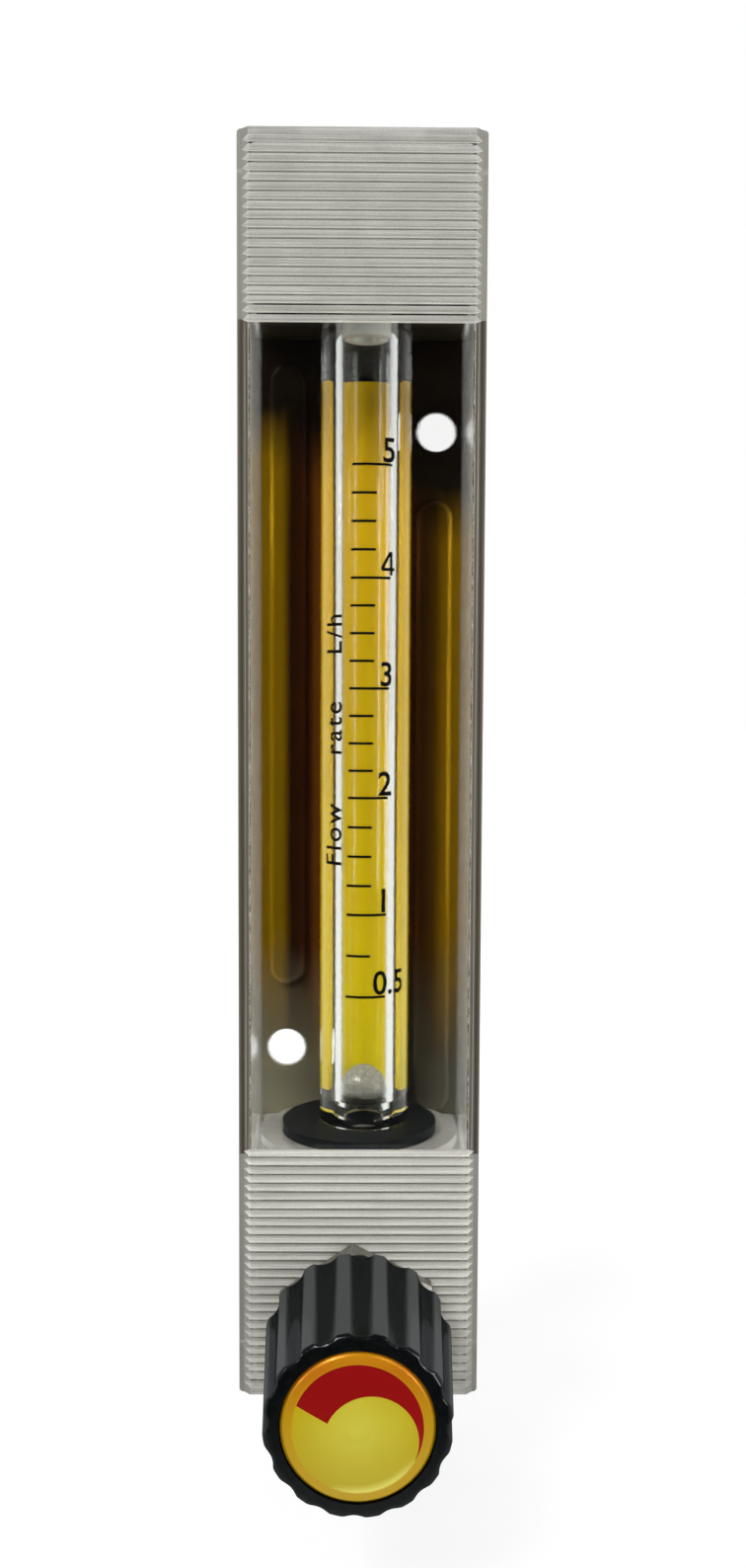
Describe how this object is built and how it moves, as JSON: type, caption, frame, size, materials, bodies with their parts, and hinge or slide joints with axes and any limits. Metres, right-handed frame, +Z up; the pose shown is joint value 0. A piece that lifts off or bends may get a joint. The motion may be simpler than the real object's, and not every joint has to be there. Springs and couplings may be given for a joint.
{
  "type": "variable-area flow meter",
  "caption": "Panel-mounted glass-tube flow meter: clear V-ribbed cover, tapered tube with a ball float and printed scale, and a needle valve with a fluted knob.",
  "frame": {"origin": "centre of the two wall-screw holes, on the back plate's rear face", "axes": "+Z up along the measuring tube, -Y out of the wall towards the reader, +X to the reader's right"},
  "size_m": [0.03, 0.0477, 0.1578],
  "materials": {
    "clear_cover": "clear, polished, V-ribbed at both ends",
    "polished_plate": "bright rolled stainless steel",
    "block_metal": "satin",
    "tube_glass": "clear, yellow enamel strip on the rear, black printed scale",
    "float_glass": "clear to milky glass, polished",
    "white_stop": "white fluoroplastic",
    "black_gasket": "matt",
    "seal_rubber": "matt",
    "turned_steel": "turned",
    "nut_steel": "plated, satin",
    "seat_plastic": "fluoroplastic",
    "knob_black": "semi-gloss moulded",
    "cap_yellow": "metallic gold face with a printed red crescent, clear lacquer",
    "collet_brass": "turned",
    "screw_steel": "stainless"
  },
  "bodies": {
    "meter": {"front_cover": "clear_cover", "back_plate": "polished_plate", "upper_block": "block_metal", "lower_block": "block_metal", "glass_tube": "tube_glass", "upper_stop": "white_stop", "lower_gasket": "black_gasket", "top_plug": "turned_steel", "top_plug_seal": "seal_rubber", "valve_bonnet": "turned_steel", "bonnet_seal": "seal_rubber", "cover_nut": "nut_steel", "valve_seat": "seat_plastic", "block_screws": "screw_steel"},
    "stem_rings": {"stem_seals": "seal_rubber"},
    "valve_knob": {"knob": "knob_black", "knob_cap": "cap_yellow", "knob_collet": "collet_brass", "collet_nut": "collet_brass", "valve_needle": "turned_steel"},
    "float": {"float_ball": "float_glass"}
  },
  "joints": [
    {"name": "needle_travel", "type": "slide", "parent": "meter", "child": "stem_rings", "axis": [0, -1, 0], "range_m": [0, 0.00251]},
    {"name": "knob_turn", "type": "hinge", "parent": "stem_rings", "child": "valve_knob", "pos_m": [0, -0.0245, -0.0724], "axis": [0, -1, 0], "range_deg": [0, 1800]},
    {"name": "float_rise", "type": "slide", "parent": "meter", "child": "float", "axis": [0, 0, 1], "range_m": [0, 0.0928]}
  ],
  "couplings": [
    {"joint": "needle_travel", "follows": "knob_turn", "m_per_rad": 0.000079577}
  ]
}
